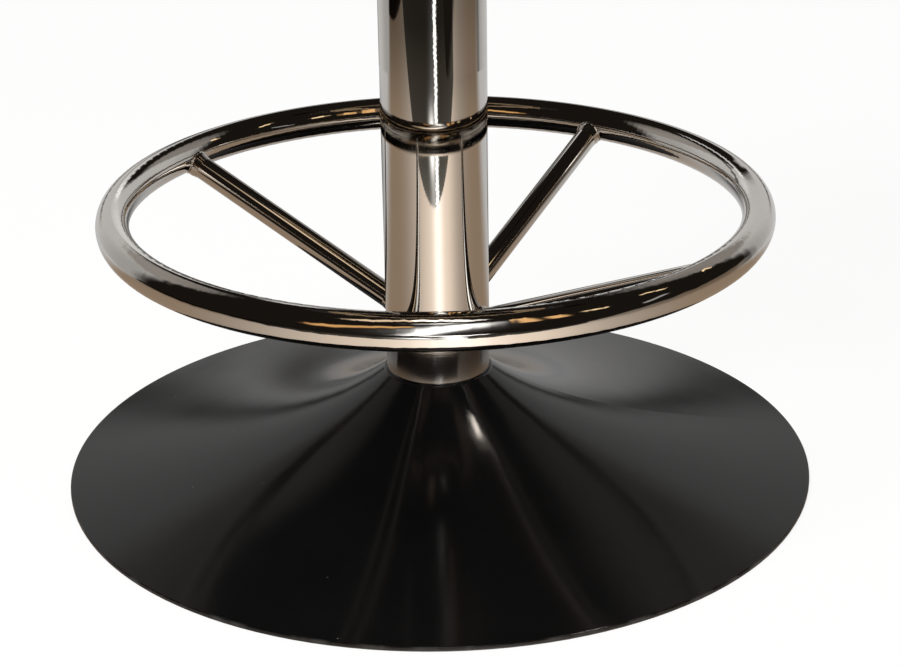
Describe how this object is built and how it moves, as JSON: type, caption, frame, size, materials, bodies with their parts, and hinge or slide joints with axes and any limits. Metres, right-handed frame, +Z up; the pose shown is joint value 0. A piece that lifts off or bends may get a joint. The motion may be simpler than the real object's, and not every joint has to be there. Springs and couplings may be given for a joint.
{
  "type": "bar stool",
  "caption": "Pedestal bar stool: a round padded seat swivels on a polished column that stands on a black trumpet base and carries a round foot ring on sloping spokes.",
  "frame": {"origin": "on the floor, at the centre of the base under the column's axis", "axes": "+Z up along the column; +X and +Y point between the spokes, which lie on the diagonals"},
  "size_m": [0.508, 0.508, 0.69],
  "materials": {
    "black_enamel": "gloss",
    "polished_steel": "polished",
    "cast_iron": "matte",
    "black_rubber": "matte",
    "black_trim": "satin",
    "bright_steel": "satin",
    "bearing_steel": "polished",
    "bush_nylon": "satin",
    "plywood": "matte",
    "foam": "matte",
    "black_vinyl": "satin"
  },
  "bodies": {
    "frame": {"base_cover": "black_enamel", "column_tube": "polished_steel", "foot_ring": "polished_steel", "spoke_1": "polished_steel", "spoke_2": "polished_steel", "spoke_3": "polished_steel", "spoke_4": "polished_steel", "base_weight": "cast_iron", "floor_pad": "black_rubber", "edge_trim": "black_trim", "base_riser": "bright_steel", "column_plug": "bright_steel", "tie_rod": "bright_steel", "tie_rod_lower_washer": "bright_steel", "tie_rod_lower_nut": "bright_steel", "tie_rod_upper_washer": "bright_steel", "tie_rod_upper_nut": "bright_steel", "bearing_housing": "bright_steel", "bearing_cup": "bearing_steel", "lower_bush": "bush_nylon"},
    "rollers": {"bearing_rollers": "bearing_steel"},
    "seat": {"spindle": "bright_steel", "spindle_washer": "bright_steel", "spindle_nut": "bright_steel", "bearing_cone": "bearing_steel", "swivel_cap": "polished_steel", "seat_plate": "black_enamel", "seat_bolts": "bright_steel", "seat_bolt_washers": "bright_steel", "t_nuts": "bright_steel", "seat_board": "plywood", "seat_foam": "foam", "seat_top_panel": "black_vinyl", "seat_side_band": "black_vinyl", "seat_piping": "black_vinyl"}
  },
  "joints": [
    {"name": "seat_swivel", "type": "hinge", "parent": "frame", "child": "seat", "pos_m": [0, 0, 0.578], "axis": [0, 0, 1], "continuous": true},
    {"name": "roller_orbit", "type": "hinge", "parent": "frame", "child": "rollers", "pos_m": [0, 0, 0.578], "axis": [0, 0, 1], "continuous": true}
  ],
  "couplings": [
    {"joint": "roller_orbit", "follows": "seat_swivel", "ratio": 0.3715}
  ]
}
